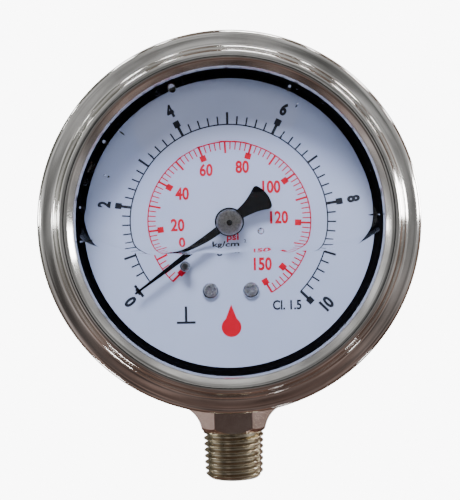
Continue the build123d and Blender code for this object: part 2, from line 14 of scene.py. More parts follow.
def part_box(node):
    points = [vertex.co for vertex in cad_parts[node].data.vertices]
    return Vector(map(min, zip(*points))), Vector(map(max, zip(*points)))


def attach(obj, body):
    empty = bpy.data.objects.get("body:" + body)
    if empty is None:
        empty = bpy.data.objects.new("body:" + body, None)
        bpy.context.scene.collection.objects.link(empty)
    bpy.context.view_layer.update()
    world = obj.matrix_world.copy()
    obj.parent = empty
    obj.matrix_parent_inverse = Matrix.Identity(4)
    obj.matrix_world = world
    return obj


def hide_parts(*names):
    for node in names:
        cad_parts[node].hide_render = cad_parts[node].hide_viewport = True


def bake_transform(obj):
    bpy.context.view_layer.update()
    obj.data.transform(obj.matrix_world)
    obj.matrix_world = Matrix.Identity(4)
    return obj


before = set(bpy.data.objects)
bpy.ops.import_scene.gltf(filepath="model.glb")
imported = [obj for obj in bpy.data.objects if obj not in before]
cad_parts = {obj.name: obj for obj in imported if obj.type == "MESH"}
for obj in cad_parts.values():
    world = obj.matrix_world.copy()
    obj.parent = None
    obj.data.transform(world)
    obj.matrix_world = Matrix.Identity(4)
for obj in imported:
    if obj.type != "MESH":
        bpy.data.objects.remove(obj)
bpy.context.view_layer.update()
MM = 0.001

# ---------------------------------------------------------------- places taken from the frame
dial_low, dial_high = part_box("dial")
CENTRE_X = (dial_low.x + dial_high.x) / 2
CENTRE_Z = (dial_low.z + dial_high.z) / 2
DIAL_FRONT = -dial_low.y
window_low, window_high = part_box("window")
WINDOW_FRONT = -window_low.y
WINDOW_BACK = -window_high.y
bezel_low, bezel_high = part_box("bezel_ring")
BEZEL_RADIUS = (bezel_high.x - bezel_low.x) / 2
CASE_FRONT = -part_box("case")[0].y

ZERO_CLOCK = 54.0  # where the black line starts and the pointer rests
FULL_CLOCK = 315.0  # where the black line ends
START_CLOCK = 45.0  # where the evenly divided scales begin


def spot(radius, clock, forward):
    """A point by its radius from the dial's centre, its clock angle and its forward distance."""
    angle = radians(clock)
    return Vector((CENTRE_X - radius * sin(angle), -forward, CENTRE_Z - radius * cos(angle)))


def dial_point(across, up, forward):
    """A point by its place on the dial and its forward distance."""
    return Vector((CENTRE_X + across, -forward, CENTRE_Z + up))


# ---------------------------------------------------------------- mesh helpers
def polar_point(radius, angle):
    """A flat point by its radius and its angle in degrees."""
    return radius * cos(radians(angle)), radius * sin(radians(angle))


def new_object(name, mesh, material, smooth_angle=None):
    """Links a mesh as an object, with its material and its smooth shading."""
    piece = bpy.data.objects.new(name, mesh)
    bpy.context.scene.collection.objects.link(piece)
    mesh.materials.clear()
    mesh.materials.append(material)
    if smooth_angle is not None:
        mesh.shade_smooth()
        mesh.set_sharp_from_angle(angle=radians(smooth_angle))
    return piece


def finish_mesh(name, shape, material, smooth_angle=None):
    """Turns a bmesh into an object, with its faces turned outwards."""
    bmesh.ops.recalc_face_normals(shape, faces=shape.faces)
    mesh = bpy.data.meshes.new(name)
    shape.to_mesh(mesh)
    shape.free()
    return new_object(name, mesh, material, smooth_angle)


def settle(piece, slot, *replaced):
    """Lets a piece ride on the housing, in place of these CAD nodes; the slot argument is not used."""
    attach(piece, "housing")
    if replaced:
        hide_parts(*replaced)


def bridge(shape, one, two):
    """Faces between two closed rings of vertices; a ring of one vertex is a tip."""
    count = max(len(one), len(two))
    for step in range(count):
        nxt = (step + 1) % count
        if len(one) == 1:
            shape.faces.new((one[0], two[step], two[nxt]))
        elif len(two) == 1:
            shape.faces.new((one[step], two[0], one[nxt]))
        else:
            shape.faces.new((one[step], two[step], two[nxt], one[nxt]))


def arc_points(centre, radius, start, end, steps):
    """Points of an arc in a profile, from start to end in degrees."""
    points = []
    for step in range(steps + 1):
        across, up = polar_point(radius, start + (end - start) * step / steps)
        points.append((centre[0] + across, centre[1] + up))
    return points


def rounded_path(corners, radii, steps):
    """A profile line whose inner corners are rounded with these radii."""
    points = [corners[0]]
    for before, corner, after, radius in zip(corners, corners[1:], corners[2:], radii):
        corner_v = Vector(corner)
        one = (Vector(before) - corner_v).normalized()
        two = (Vector(after) - corner_v).normalized()
        half = one.angle(two) / 2
        reach = radius / tan(half)
        middle = corner_v + (one + two).normalized() * (radius / sin(half))
        start = corner_v + one * reach - middle
        end = corner_v + two * reach - middle
        turn = start.angle_signed(end)
        for step in range(steps + 1):
            angle = -turn * step / steps
            arm = Matrix.Rotation(angle, 2) @ start
            points.append(tuple(middle + arm))
    points.append(corners[-1])
    return points


def offset_line(points, distance):
    """The same line moved sideways by a distance, with mitred corners."""
    moved = []
    for index, point in enumerate(points):
        before = Vector(points[max(index - 1, 0)])
        after = Vector(points[min(index + 1, len(points) - 1)])
        here = Vector(point)
        normals = []
        for one, two in ((before, here), (here, after)):
            step = two - one
            if step.length > 1e-9:
                normals.append(Vector((-step.y, step.x)).normalized())
        normal = sum(normals, Vector((0, 0))).normalized()
        stretch = max(normal.dot(normals[0]), 0.3)
        moved.append(tuple(here + normal * (distance / stretch)))
    return moved


def sheet_profile(points, thickness):
    """The closed outline of sheet metal that follows a middle line."""
    return offset_line(points, thickness / 2) + offset_line(points, -thickness / 2)[::-1]


def lathe(name, profile, material, segments, smooth_angle, closed=True):
    """Turns a profile of (radius, forward) points round the dial's axis."""
    shape = bmesh.new()
    rings = []
    for radius, forward in profile:
        if radius < 1e-7:
            rings.append([shape.verts.new(spot(0, 0, forward))])
        else:
            places = [spot(radius, 360 * step / segments, forward) for step in range(segments)]
            rings.append([shape.verts.new(place) for place in places])
    pairs = list(zip(rings, rings[1:]))
    if closed:
        pairs.append((rings[-1], rings[0]))
    for one, two in pairs:
        bridge(shape, one, two)
    return finish_mesh(name, shape, material, smooth_angle)


def prism(shape, outline, back, front):
    """Adds a flat-sided solid to a bmesh: an outline on the dial between two forward distances."""
    backs = [shape.verts.new(dial_point(across, up, back)) for across, up in outline]
    fronts = [shape.verts.new(dial_point(across, up, front)) for across, up in outline]
    shape.faces.new(backs[::-1])
    shape.faces.new(fronts)
    bridge(shape, backs, fronts)


# ---------------------------------------------------------------- node helpers
class Nodes:
    """The node tree of a material or a world, with short calls for the nodes that the looks need."""

    def __init__(self, owner, output="ShaderNodeOutputMaterial"):
        self.owner = owner
        owner.use_nodes = True
        self.tree = owner.node_tree
        self.tree.nodes.clear()
        self.output = self.add(output)
        self.shader = None

    def add(self, kind, **settings):
        node = self.tree.nodes.new(kind)
        for key, value in settings.items():
            setattr(node, key, value)
        return node

    def link(self, source, target):
        self.tree.links.new(source, target)

    def principled(self, **sockets):
        self.shader = self.add("ShaderNodeBsdfPrincipled")
        for key, value in sockets.items():
            self.shader.inputs[key.replace("_", " ")].default_value = value
        self.link(self.shader.outputs[0], self.output.inputs["Surface"])
        return self.shader

    def position(self):
        """Places in millimetres from the dial's centre."""
        coordinates = self.add("ShaderNodeTexCoord")
        mapping = self.add("ShaderNodeMapping")
        mapping.inputs["Location"].default_value = (-CENTRE_X / MM, 0, -CENTRE_Z / MM)
        mapping.inputs["Scale"].default_value = (1 / MM, 1 / MM, 1 / MM)
        self.link(coordinates.outputs["Object"], mapping.inputs["Vector"])
        return mapping.outputs["Vector"]

    def split(self, vector):
        """The three parts of a vector."""
        parts = self.add("ShaderNodeSeparateXYZ")
        self.link(vector, parts.inputs[0])
        return parts.outputs

    def turned(self, along):
        """Places on a turned part: its radius, the way round it times along, and its depth."""
        across, depth, up = self.split(self.position())
        square = self.math("ADD", self.math("MULTIPLY", across, across), self.math("MULTIPLY", up, up))
        joined = self.add("ShaderNodeCombineXYZ")
        self.link(self.math("SQRT", square), joined.inputs[0])
        self.link(self.math("MULTIPLY", self.math("ARCTAN2", up, across), along), joined.inputs[1])
        self.link(depth, joined.inputs[2])
        return joined.outputs[0]

    def math(self, operation, one, two=None):
        """A sum on one or two values, which are sockets or numbers."""
        node = self.add("ShaderNodeMath", operation=operation)
        for index, value in enumerate((one, two)):
            if value is None:
                continue
            if isinstance(value, (int, float)):
                node.inputs[index].default_value = value
            else:
                self.link(value, node.inputs[index])
        return node.outputs[0]

    def noise(self, vector, scale, detail=3.0, roughness=0.55, distortion=0.0):
        node = self.add("ShaderNodeTexNoise")
        node.inputs["Scale"].default_value = scale
        node.inputs["Detail"].default_value = detail
        node.inputs["Roughness"].default_value = roughness
        node.inputs["Distortion"].default_value = distortion
        self.link(vector, node.inputs["Vector"])
        return node.outputs["Fac"]

    def ramp(self, factor, stops):
        """A colour ramp: stops are (position, colour or grey value)."""
        node = self.add("ShaderNodeValToRGB")
        elements = node.color_ramp.elements
        while len(elements) < len(stops):
            elements.new(0.5)
        for element, (place, value) in zip(elements, stops):
            element.position = place
            colour = (value, value, value) if isinstance(value, (int, float)) else value
            element.color = (*colour, 1)
        self.link(factor, node.inputs[0])
        return node.outputs["Color"]

    def mix(self, factor, one, two, blend="MIX"):
        """A mix of two colours."""
        node = self.add("ShaderNodeMix", data_type="RGBA", blend_type=blend)
        for socket, value in ((node.inputs[0], factor), (node.inputs[6], one), (node.inputs[7], two)):
            if isinstance(value, (int, float)):
                socket.default_value = value
            elif isinstance(value, tuple):
                socket.default_value = (*value, 1)
            else:
                self.link(value, socket)
        return node.outputs[2]

    def bump(self, height, strength, distance, under=None):
        """A normal bent by a height, on top of another one where under is given."""
        node = self.add("ShaderNodeBump")
        node.inputs["Strength"].default_value = strength
        node.inputs["Distance"].default_value = distance
        self.link(height, node.inputs["Height"])
        if under is not None:
            self.link(under, node.inputs["Normal"])
        return node.outputs["Normal"]

    def set(self, socket, source):
        self.link(source, self.shader.inputs[socket])

    def spread(self, value, share, least):
        """A value times share, plus least."""
        return self.math("ADD", self.math("MULTIPLY", value, share), least)


def new_look(name):
    """The nodes of a new material."""
    return Nodes(bpy.data.materials.new(name))


# ---------------------------------------------------------------- materials
def stainless_material():
    """Polished stainless sheet: fine turning lines, faint smears and a few hairline scratches."""
    look = new_look("polished_stainless")
    look.principled(Metallic=1.0, Roughness=0.13, Base_Color=(0.66, 0.645, 0.62, 1))
    lines = look.noise(look.turned(along=2.2), 5.5, detail=4, roughness=0.7)
    smears = look.noise(look.position(), 0.12, detail=4, distortion=0.6)
    scratches = look.noise(look.position(), 2.4, detail=6, roughness=0.75, distortion=1.4)
    look.set("Base Color", look.ramp(smears, [(0.3, (0.60, 0.585, 0.56)), (0.7, (0.70, 0.69, 0.67))]))
    rough = look.math("ADD", look.math("MULTIPLY", smears, 0.07), look.math("MULTIPLY", scratches, 0.05))
    look.set("Roughness", look.math("ADD", rough, 0.06))
    fine = look.bump(lines, 0.16, 0.00004)
    look.set("Normal", look.bump(scratches, 0.05, 0.00003, fine))
    return look.owner


def metal_material(name, colour, roughness, speckle=0.05, scale=1.2, bump=0.08):
    """A machined metal: mottled colour, uneven roughness and a slight grain."""
    look = new_look(name)
    look.principled(Metallic=1.0, Roughness=roughness, Base_Color=(*colour, 1))
    place = look.position()
    cloud = look.noise(place, scale, detail=5, roughness=0.6)
    grain = look.noise(place, scale * 9, detail=3, roughness=0.6)
    dark = tuple(channel * (1 - speckle * 3) for channel in colour)
    light = tuple(min(channel * (1 + speckle * 2), 1) for channel in colour)
    look.set("Base Color", look.ramp(cloud, [(0.3, dark), (0.72, light)]))
    look.set("Roughness", look.spread(cloud, roughness * 0.7, roughness * 0.6))
    look.set("Normal", look.bump(grain, bump, 0.00003))
    return look.owner


STEM_BELOW_DIAL = 60  # millimetres down from the dial's centre to where the stem's colour ramp starts
STEM_SPAN = 20  # millimetres of height that the ramp covers; it changes at the top of the thread


def socket_material():
    """Thinly nickelled brass: pinkish brown on the milled flats, olive gold on the thread."""
    look = new_look("nickelled_brass")
    look.principled(Metallic=1.0, Roughness=0.24, Base_Color=(0.47, 0.42, 0.33, 1))
    place = look.position()
    cloud = look.noise(place, 0.35, detail=5, roughness=0.6)
    grain = look.noise(place, 6.0, detail=4, roughness=0.65)
    thread = look.ramp(cloud, [(0.32, (0.47, 0.42, 0.32)), (0.7, (0.64, 0.59, 0.47))])
    flats = look.ramp(cloud, [(0.32, (0.44, 0.30, 0.26)), (0.7, (0.54, 0.39, 0.35))])
    height = look.split(place)[2]
    level = look.math("MULTIPLY", look.math("ADD", height, STEM_BELOW_DIAL), 1 / STEM_SPAN)
    base = look.mix(look.ramp(level, [(0.69, 0.0), (0.73, 1.0)]), thread, flats)
    look.set("Base Color", look.mix(look.math("MULTIPLY", grain, 0.25), base, (0.66, 0.60, 0.50)))
    look.set("Roughness", look.spread(grain, 0.16, 0.14))
    look.set("Normal", look.bump(grain, 0.10, 0.00004))
    return look.owner


def enamel_material():
    """The dial's satin enamel, a cool bluish white, with a barely visible orange peel."""
    look = new_look("dial_enamel")
    look.principled(Roughness=0.42, Base_Color=(0.80, 0.83, 0.88, 1))
    look.shader.inputs["Specular IOR Level"].default_value = 0.35
    place = look.position()
    cloud = look.noise(place, 0.05, detail=3)
    peel = look.noise(place, 3.0, detail=2)
    look.set("Base Color", look.ramp(cloud, [(0.3, (0.36, 0.405, 0.61)), (0.7, (0.40, 0.44, 0.64))]))
    look.set("Roughness", look.spread(peel, 0.1, 0.36))
    look.set("Normal", look.bump(peel, 0.04, 0.00002))
    return look.owner


def ink_material(name, dark, light):
    """Printing ink, with the slight unevenness of a pad print."""
    look = new_look(name)
    look.principled(Roughness=0.5, Base_Color=(*light, 1))
    look.shader.inputs["Specular IOR Level"].default_value = 0.3
    cloud = look.noise(look.position(), 1.5, detail=4, roughness=0.7)
    look.set("Base Color", look.ramp(cloud, [(0.25, dark), (0.75, light)]))
    look.set("Roughness", look.spread(cloud, 0.2, 0.38))
    return look.owner


def lacquer_material():
    """The pointer's black lacquer: glossy, with faint dust."""
    look = new_look("pointer_lacquer")
    look.principled(Roughness=0.22, Base_Color=(0.002, 0.002, 0.003, 1))
    look.shader.inputs["Specular IOR Level"].default_value = 0.10
    place = look.position()
    dust = look.noise(place, 14.0, detail=2)
    cloud = look.noise(place, 0.6, detail=3)
    look.set("Base Color", look.ramp(dust, [(0.55, (0.002, 0.002, 0.003)), (0.8, (0.010, 0.009, 0.009))]))
    look.set("Roughness", look.spread(cloud, 0.16, 0.16))
    return look.owner


def rubber_material(name, colour, roughness, gloss):
    """Moulded black rubber, dull with a fine grain and a faint bloom."""
    look = new_look(name)
    look.principled(Roughness=roughness, Base_Color=(*colour, 1))
    look.shader.inputs["Specular IOR Level"].default_value = gloss
    place = look.position()
    bloom = look.noise(place, 0.5, detail=5, roughness=0.65)
    grain = look.noise(place, 7.0, detail=3)
    bloomed = tuple(channel * 2.2 for channel in colour)
    look.set("Base Color", look.ramp(bloom, [(0.4, colour), (0.8, bloomed)]))
    look.set("Roughness", look.spread(grain, 0.25, roughness - 0.12))
    look.set("Normal", look.bump(grain, 0.12, 0.00003))
    return look.owner


def fibre_material():
    """Pressed gasket fibre, dark grey with pale flecks."""
    look = new_look("gasket_fibre")
    look.principled(Roughness=0.8, Base_Color=(0.12, 0.115, 0.11, 1))
    place = look.position()
    flecks = look.noise(place, 5.0, detail=5, roughness=0.8, distortion=1.0)
    look.set("Base Color", look.ramp(flecks, [(0.35, (0.07, 0.068, 0.065)), (0.7, (0.22, 0.21, 0.19))]))
    look.set("Normal", look.bump(flecks, 0.3, 0.00005))
    return look.owner


def clear_material(name, colour, index):
    """A clear solid that lets light fall through it instead of casting a hard shadow."""
    look = new_look(name)
    shader = look.principled(Roughness=0.0, IOR=index, Base_Color=(*colour, 1))
    shader.inputs["Transmission Weight"].default_value = 1.0
    clear = look.add("ShaderNodeBsdfTransparent")
    clear.inputs["Color"].default_value = (*colour, 1)
    path = look.add("ShaderNodeLightPath")
    chosen = look.add("ShaderNodeMixShader")
    look.link(path.outputs["Is Shadow Ray"], chosen.inputs[0])
    look.link(shader.outputs[0], chosen.inputs[1])
    look.link(clear.outputs[0], chosen.inputs[2])
    look.link(chosen.outputs[0], look.output.inputs["Surface"])
    return look.owner


STAINLESS = stainless_material()
BRASS = metal_material("rolled_brass", (0.72, 0.53, 0.25), 0.28)
BRONZE = metal_material("drawn_bronze", (0.62, 0.42, 0.22), 0.33)
SPRING = metal_material("spring_bronze", (0.66, 0.44, 0.24), 0.22)
PIVOT = metal_material("ground_steel", (0.56, 0.56, 0.57), 0.18)
ZINC = metal_material("zinc_plate", (0.88, 0.89, 0.91), 0.20, speckle=0.12, scale=1.6, bump=0.5)
CAP_METAL = metal_material("turned_cap", (0.66, 0.65, 0.66), 0.34, speckle=0.12, scale=2.4, bump=0.45)
CLIP_STEEL = metal_material("clip_sheet", (0.50, 0.50, 0.51), 0.34)
SOCKET = socket_material()
ENAMEL = enamel_material()
BLACK_INK = ink_material("black_ink", (0.006, 0.007, 0.012), (0.016, 0.017, 0.026))
RED_INK = ink_material("red_ink", (0.42, 0.003, 0.016), (0.52, 0.006, 0.026))
LACQUER = lacquer_material()
GASKET_RUBBER = rubber_material("gasket_rubber", (0.0012, 0.0013, 0.002), 0.8, 0.0)
PLUG_RUBBER = rubber_material("plug_rubber", (0.018, 0.018, 0.019), 0.6, 0.35)
FIBRE = fibre_material()
WINDOW_GLASS = clear_material("window_glass", (0.985, 0.995, 0.995), 1.5)
LIQUID = clear_material("clear_glycerine", (0.965, 0.985, 0.995), 1.46)
BUBBLE = clear_material("bubble_surface", (1.0, 1.0, 1.0), 0.685)

CAD_LOOKS = {
    "dial": ENAMEL, "dial_screws": ZINC, "dial_spacers": BRASS, "zero_stop_pin": PIVOT,
    "pointer": LACQUER, "pointer_hub": BRASS, "hub_cap": CAP_METAL, "pinion_shaft": PIVOT,
    "hairspring": SPRING, "hairspring_collet": BRASS, "hairspring_stud": PIVOT,
    "sector_gear": BRASS, "sector_arbor": PIVOT, "front_plate": BRASS, "back_plate": BRASS,
    "plate_pillars": BRASS, "plate_screws": ZINC, "movement_screws": ZINC,
    "link_bar": BRASS, "link_pin_lower": PIVOT, "link_pin_upper": PIVOT,
    "bourdon_tube": BRONZE, "tube_end_piece": BRONZE, "socket": SOCKET,
    "socket_gasket": FIBRE, "socket_retaining_clip": CLIP_STEEL, "restrictor_screw": BRASS,
    "case": STAINLESS, "bezel_ring": STAINLESS, "window": WINDOW_GLASS,
    "window_gasket": GASKET_RUBBER, "fill_plug": PLUG_RUBBER, "glycerine_fill": LIQUID,
}
for node_name, look in CAD_LOOKS.items():
    node_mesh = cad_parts[node_name].data
    node_mesh.materials.clear()
    node_mesh.materials.append(look)
    node_mesh.shade_smooth()
    node_mesh.set_sharp_from_angle(angle=radians(32))

# ---------------------------------------------------------------- dial screws
SCREW_HEAD = 1.75 * MM
SCREW_SHANK = 1.0 * MM
RECESS_DEPTH = 0.75 * MM
RECESS_REACH = 1.1 * MM
RECESS_HALF = 0.26 * MM
SCREW_SEGMENTS = 96
DOME_RINGS = 30
DOME_EDGE = 0.62  # share of the head's radius where its edge starts to round off


def recess_depth(radius, angle):
    """Depth of the cross recess at a place on the screw's head."""
    arm = radians((degrees(angle) + 45) % 90 - 45)
    along, beside = radius * cos(arm), abs(radius * sin(arm))
    half = RECESS_HALF * (1.3 - 0.5 * along / RECESS_REACH)
    side = 1 - min(max((beside - half * 0.7) / (half * 0.6), 0), 1)
    end = 1 - min(max((along - RECESS_REACH * 0.75) / (RECESS_REACH * 0.3), 0), 1)
    return RECESS_DEPTH * side * end * (1 - 0.45 * along / RECESS_REACH)


def screw_ring(shape, middle, turn, radius, depths):
    """A ring of vertices round a screw's axis, turned by so many degrees, one for each forward distance."""
    ring = []
    for number, depth in enumerate(depths):
        angle = 2 * pi * number / len(depths) + radians(turn)
        place = dial_point(middle[0] + radius * cos(angle), middle[1] + radius * sin(angle), depth)
        ring.append(shape.verts.new(place))
    return ring


def make_dial_screws():
    """Pan head screws with a cross recess that hold the dial."""
    screw_low, screw_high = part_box("dial_screws")
    front, rear = -screw_low.y, -screw_high.y
    up = screw_low.z + SCREW_HEAD - CENTRE_Z
    spread = (screw_high.x - screw_low.x) / 2 - SCREW_HEAD
    angles = [2 * pi * number / SCREW_SEGMENTS for number in range(SCREW_SEGMENTS)]
    shape = bmesh.new()
    for across, turn in ((-spread, 22), (spread, 57)):
        middle = (across, up)
        rings = [[shape.verts.new(dial_point(across, up, front - RECESS_DEPTH))]]
        for step in range(1, DOME_RINGS + 1):
            share = step / DOME_RINGS
            radius = SCREW_HEAD * share
            edge = min(max((share - DOME_EDGE) / (1 - DOME_EDGE), 0), 1)
            dome = 0.10 * MM * share ** 2 + 0.5 * MM * (1 - sqrt(1 - edge * edge))
            depths = [front - dome - recess_depth(radius, angle) for angle in angles]
            rings.append(screw_ring(shape, middle, turn, radius, depths))
        for radius, forward in ((SCREW_HEAD, DIAL_FRONT), (SCREW_SHANK, DIAL_FRONT), (SCREW_SHANK, rear)):
            rings.append(screw_ring(shape, middle, turn, radius, [forward] * SCREW_SEGMENTS))
        rings.append([shape.verts.new(dial_point(across, up, rear))])
        for one, two in zip(rings, rings[1:]):
            bridge(shape, one, two)
    settle(finish_mesh("pan_screws", shape, ZINC, 50), "zinc_screws", "dial_screws")


make_dial_screws()

# ---------------------------------------------------------------- bourdon tube
TUBE_RADIUS = 25.0 * MM
TUBE_WIDTH = 10.0 * MM
TUBE_HEIGHT = 3.6 * MM
TUBE_WALL = 0.5 * MM
TUBE_TIP = 3.0  # degrees anticlockwise from three o'clock
TUBE_ROOT = 263.0
TUBE_SECTIONS = 131


def slot_outline(width, height, steps=14):
    """The rounded outline of the flattened tube, as (outward, forward) offsets."""
    half = (width - height) / 2
    outline = []
    for side, shift in ((0, half), (180, -half)):
        outline += arc_points((0, shift), height / 2, side, side + 180, steps)
    return outline


def make_bourdon_tube():
    """The flattened C tube."""
    tube_low, tube_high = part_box("bourdon_tube")
    forward = -(tube_low.y + tube_high.y) / 2
    shape = bmesh.new()
    sections = []
    for step in range(TUBE_SECTIONS):
        angle = TUBE_TIP + (TUBE_ROOT - TUBE_TIP) * step / (TUBE_SECTIONS - 1)
        walls = []
        for inset in (0, 2 * TUBE_WALL):
            outline = slot_outline(TUBE_WIDTH - inset, TUBE_HEIGHT - inset)
            walls.append([shape.verts.new(dial_point(*polar_point(TUBE_RADIUS + out, angle), forward + along))
                          for out, along in outline])
        sections.append(walls)
    for one, two in zip(sections, sections[1:]):
        bridge(shape, one[0], two[0])
        bridge(shape, one[1], two[1])
    for outer, inner in (sections[0], sections[-1]):
        bridge(shape, outer, inner)
    tube = finish_mesh("tube", shape, BRONZE, 40)
    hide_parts("bourdon_tube")
    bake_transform(tube)


make_bourdon_tube()

# ---------------------------------------------------------------- bezel and window
SHEET = 0.8 * MM
BEAD_CENTRE = (BEZEL_RADIUS - 2.4 * MM, CASE_FRONT - 0.4 * MM)
BEAD_MIDDLE = 2.0 * MM


def make_bezel():
    """The crimped ring: lip, inner slope, crest, shoulder, crease and rolled bead."""
    bead = arc_points(BEAD_CENTRE, BEAD_MIDDLE, 80, -80, 24)
    lip_edge = (31.95 * MM, WINDOW_FRONT + 0.5 * MM)
    lip = (32.2 * MM, WINDOW_FRONT + 1.4 * MM)
    crest = (34.1 * MM, WINDOW_FRONT + 3.4 * MM)
    foot = (36.0 * MM, WINDOW_FRONT - 0.6 * MM)
    crease = bead[0]
    middle = rounded_path([lip_edge, lip, crest, foot, crease], [0.9 * MM, 0.9 * MM, 2.5 * MM], steps=10)
    middle += bead[1:]
    ring = lathe("bezel", sheet_profile(middle, SHEET), STAINLESS, segments=360, smooth_angle=50)
    settle(ring, "polished_stainless", "bezel_ring")


def make_window():
    """Flat glass with eased edges."""
    radius = (window_high.x - window_low.x) / 2
    ease = 0.3 * MM
    profile = [(0, WINDOW_BACK), (radius - ease, WINDOW_BACK), (radius, WINDOW_BACK + ease),
               (radius, WINDOW_FRONT - ease), (radius - ease, WINDOW_FRONT), (0, WINDOW_FRONT)]
    glass = lathe("window_glass", profile, WINDOW_GLASS, segments=192, smooth_angle=30, closed=False)
    settle(glass, "window_glass", "window")


make_bezel()
make_window()

# ---------------------------------------------------------------- prints on the dial
PRINT_BACK = DIAL_FRONT + 0.004 * MM
PRINT_FRONT = DIAL_FRONT + 0.016 * MM
BLACK_ARC = 21.0 * MM
RED_ARC = 17.3 * MM
CLOCK_PER_UNIT = 27.0  # degrees for 1 kg/cm2
UNITS_PER_PSI = 0.070307  # kg/cm2 for 1 psi

# bars of each kind of tick: from and to in millimetres outwards from the arc, and their width
BLACK_TICKS = {
    "minor": [(0, 1.8, 0.33)],
    "middle": [(0, 2.6, 0.48)],
    "major": [(-0.05, 2.4, 0.60), (2.1, 3.5, 1.34)],
    "zero": [(2.2, 4.1, 0.5), (2.95, 3.6, 1.5), (2.75, 3.35, 3.0)],
}
RED_TICKS = {
    "minor": [(-1.7, 0, 0.26)],
    "middle": [(-2.5, 0, 0.44)],
    "major": [(-2.2, 0.05, 0.46), (-3.3, -1.95, 1.3)],
}


def black_clock(value):
    """Where a kg/cm2 value lies on the black scale."""
    return START_CLOCK + CLOCK_PER_UNIT * value


def red_clock(value):
    """Where a psi value lies on the red scale."""
    return black_clock(value * UNITS_PER_PSI)


def ring_band(shape, radius, width, start, end, step_angle=1.5):
    """A printed arc."""
    count = max(int((end - start) / step_angle), 2)
    for step in range(count):
        one = start + (end - start) * step / count
        two = start + (end - start) * (step + 1) / count
        corners = []
        for place, clock in ((radius - width / 2, one), (radius + width / 2, one),
                             (radius + width / 2, two), (radius - width / 2, two)):
            corners.append((-place * sin(radians(clock)), -place * cos(radians(clock))))
        prism(shape, corners[::-1], PRINT_BACK, PRINT_FRONT)


def add_tick(shape, arc, bars, clock):
    """A printed tick: bars, one over the other, that point at the dial's centre."""
    out = Vector((-sin(radians(clock)), -cos(radians(clock))))
    for start, end, width in bars:
        inner, outer = out * (arc + start * MM), out * (arc + end * MM)
        side = Vector((out.y, -out.x)) * (width * MM / 2)
        corners = [inner - side, outer - side, outer + side, inner + side]
        prism(shape, [tuple(corner) for corner in corners], PRINT_BACK, PRINT_FRONT)


def finish_print(name, shape, material):
    """Turns a bmesh of prints into a piece on the dial."""
    settle(finish_mesh(name, shape, material), "dial_enamel")


def make_black_scale():
    """Outer scale: a fine arc, a tick for every 0.2, a block at every even number and a cross at zero."""
    shape = bmesh.new()
    ring_band(shape, BLACK_ARC, 0.28 * MM, ZERO_CLOCK, FULL_CLOCK)
    for step in range(3, 51):
        kind = "major" if step % 10 == 0 else "middle" if step % 5 == 0 else "minor"
        add_tick(shape, BLACK_ARC, BLACK_TICKS[kind], black_clock(step * 0.2))
    add_tick(shape, BLACK_ARC, BLACK_TICKS["zero"], ZERO_CLOCK)
    finish_print("black_scale", shape, BLACK_INK)


def make_red_scale():
    """Inner scale: a fine arc with ticks inwards for every 2 psi and blocks at the numbers."""
    shape = bmesh.new()
    ring_band(shape, RED_ARC, 0.27 * MM, START_CLOCK, red_clock(150))
    for value in range(0, 151, 2):
        numbered = value % 20 == 0 or value == 150
        kind = "major" if numbered else "middle" if value % 10 == 0 else "minor"
        add_tick(shape, RED_ARC, RED_TICKS[kind], red_clock(value))
    finish_print("red_scale", shape, RED_INK)


def letter_mesh(text, height, stretch, weight, spacing):
    """A word as a thin solid, centred on the origin and lying in X and Y."""
    curve = bpy.data.curves.new("lettering", "FONT")
    curve.body = text
    curve.size = 1.0
    curve.space_character = spacing
    curve.offset = weight
    curve.extrude = 0.5
    curve.resolution_u = 5
    holder = bpy.data.objects.new("lettering", curve)
    bpy.context.scene.collection.objects.link(holder)
    bpy.context.view_layer.update()
    mesh = bpy.data.meshes.new_from_object(holder.evaluated_get(bpy.context.evaluated_depsgraph_get()))
    bpy.data.objects.remove(holder)
    low = Vector([min(vertex.co[axis] for vertex in mesh.vertices) for axis in range(3)])
    high = Vector([max(vertex.co[axis] for vertex in mesh.vertices) for axis in range(3)])
    mesh.transform(Matrix.Translation(-(low + high) / 2))
    scale = height / (high.y - low.y)
    mesh.transform(Matrix.Diagonal((scale * stretch, scale, PRINT_FRONT - PRINT_BACK, 1)))
    return mesh


def place_letters(shape, text, place, turn, height, stretch, weight, spacing=1.0):
    """Adds a word at a place on the dial, in millimetres, turned anticlockwise by so many degrees."""
    mesh = letter_mesh(text, height * MM, stretch, weight, spacing)
    stand = Matrix(((1, 0, 0, 0), (0, 0, -1, 0), (0, 1, 0, 0), (0, 0, 0, 1)))
    turned = Matrix.Rotation(radians(turn), 4, "Z")
    middle = (PRINT_BACK + PRINT_FRONT) / 2
    mesh.transform(Matrix.Translation(dial_point(place[0] * MM, place[1] * MM, middle)) @ stand @ turned)
    letters = bmesh.new()
    letters.from_mesh(mesh)
    bmesh.ops.remove_doubles(letters, verts=letters.verts, dist=1e-7)
    letters.to_mesh(mesh)
    letters.free()
    shape.from_mesh(mesh)
    bpy.data.meshes.remove(mesh)


